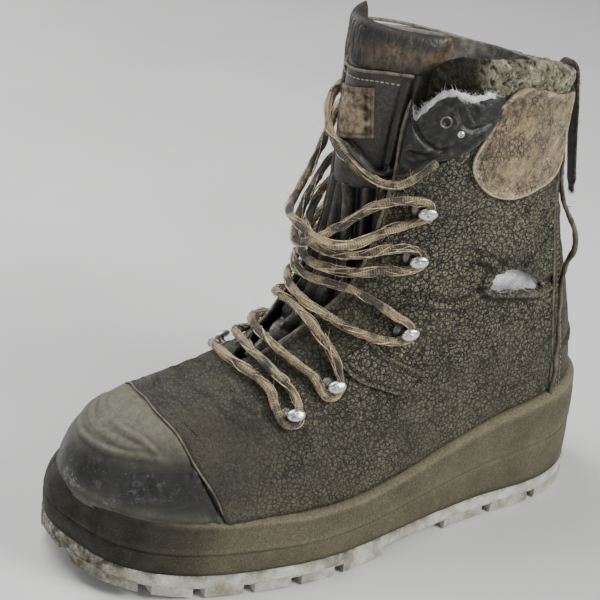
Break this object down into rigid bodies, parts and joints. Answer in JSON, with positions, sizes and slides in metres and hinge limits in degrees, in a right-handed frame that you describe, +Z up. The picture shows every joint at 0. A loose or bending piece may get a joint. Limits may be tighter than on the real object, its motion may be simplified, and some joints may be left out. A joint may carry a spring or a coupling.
{
  "type": "insulated hunting boot",
  "caption": "Left insulated lace-up hunting boot with capped toe, cleated rubber sole, padded tongue and collar, metal lace hooks, a laced cord and a rear pull strap.",
  "frame": {"origin": "centre of the bounding box at ground level, under the sole", "axes": "+Z up, +Y towards the heel, +X towards the lateral (outer) side of the left foot"},
  "size_m": [0.1143, 0.3122, 0.2791],
  "materials": {
    "outsole_rubber": "worn, dusty",
    "midsole_rubber": "matt, speckled",
    "sole_steel": "plain",
    "board": "pressed fibre",
    "insulation": "felt",
    "footbed_cloth": "woven top",
    "toe_rubber": "scuffed",
    "toe_steel": "plain",
    "grain_leather": "worn, crackled",
    "smooth_leather": "smooth, torn",
    "suede": "rubbed",
    "webbing": "woven",
    "piping": "peeled",
    "counter_board": "plain",
    "foam": "open-cell, torn",
    "lining": "knitted",
    "tongue_leather": "smooth, creased",
    "label": "woven",
    "roll_leather": "rubbed, padded",
    "hook_metal": "worn",
    "lace_cord": "braided, frayed"
  },
  "bodies": {
    "boot": {"outsole": "outsole_rubber", "midsole": "midsole_rubber", "shank": "sole_steel", "insole_board": "board", "insole_warm_layer": "insulation", "footbed": "footbed_cloth", "toe_cap": "toe_rubber", "safety_toe": "toe_steel", "vamp": "grain_leather", "quarter_lateral": "grain_leather", "quarter_medial": "grain_leather", "shaft_lateral": "grain_leather", "shaft_medial": "grain_leather", "backstay": "grain_leather", "collar_flap": "smooth_leather", "collar_patch_lateral": "suede", "collar_patch_medial": "suede", "throat_tab_lateral": "grain_leather", "throat_tab_medial": "grain_leather", "pull_tab": "webbing", "back_piping": "piping", "insulation_vamp": "insulation", "insulation_foot_lateral": "insulation", "insulation_foot_medial": "insulation", "insulation_shaft_lateral": "insulation", "insulation_shaft_medial": "insulation", "heel_counter": "counter_board", "collar_foam": "foam", "lining_vamp": "lining", "lining_foot_lateral": "lining", "lining_foot_medial": "lining", "lining_shaft": "lining", "tongue_bellows": "tongue_leather", "tongue_panel": "tongue_leather", "tongue_label": "label", "hooks_lateral": "hook_metal", "hooks_medial": "hook_metal", "lace": "lace_cord"},
    "tongue_top": {"tongue_roll": "roll_leather"},
    "strap": {"pull_strap": "webbing"}
  },
  "joints": [
    {"name": "tongue_top_fold", "type": "hinge", "parent": "boot", "child": "tongue_top", "pos_m": [0, -0.00985, 0.243], "axis": [1, 0, 0], "range_deg": [0, 30]},
    {"name": "pull_strap_swing", "type": "hinge", "parent": "boot", "child": "strap", "pos_m": [0, 0.12165, 0.2425], "axis": [1, 0, 0], "range_deg": [-4, 75]}
  ]
}
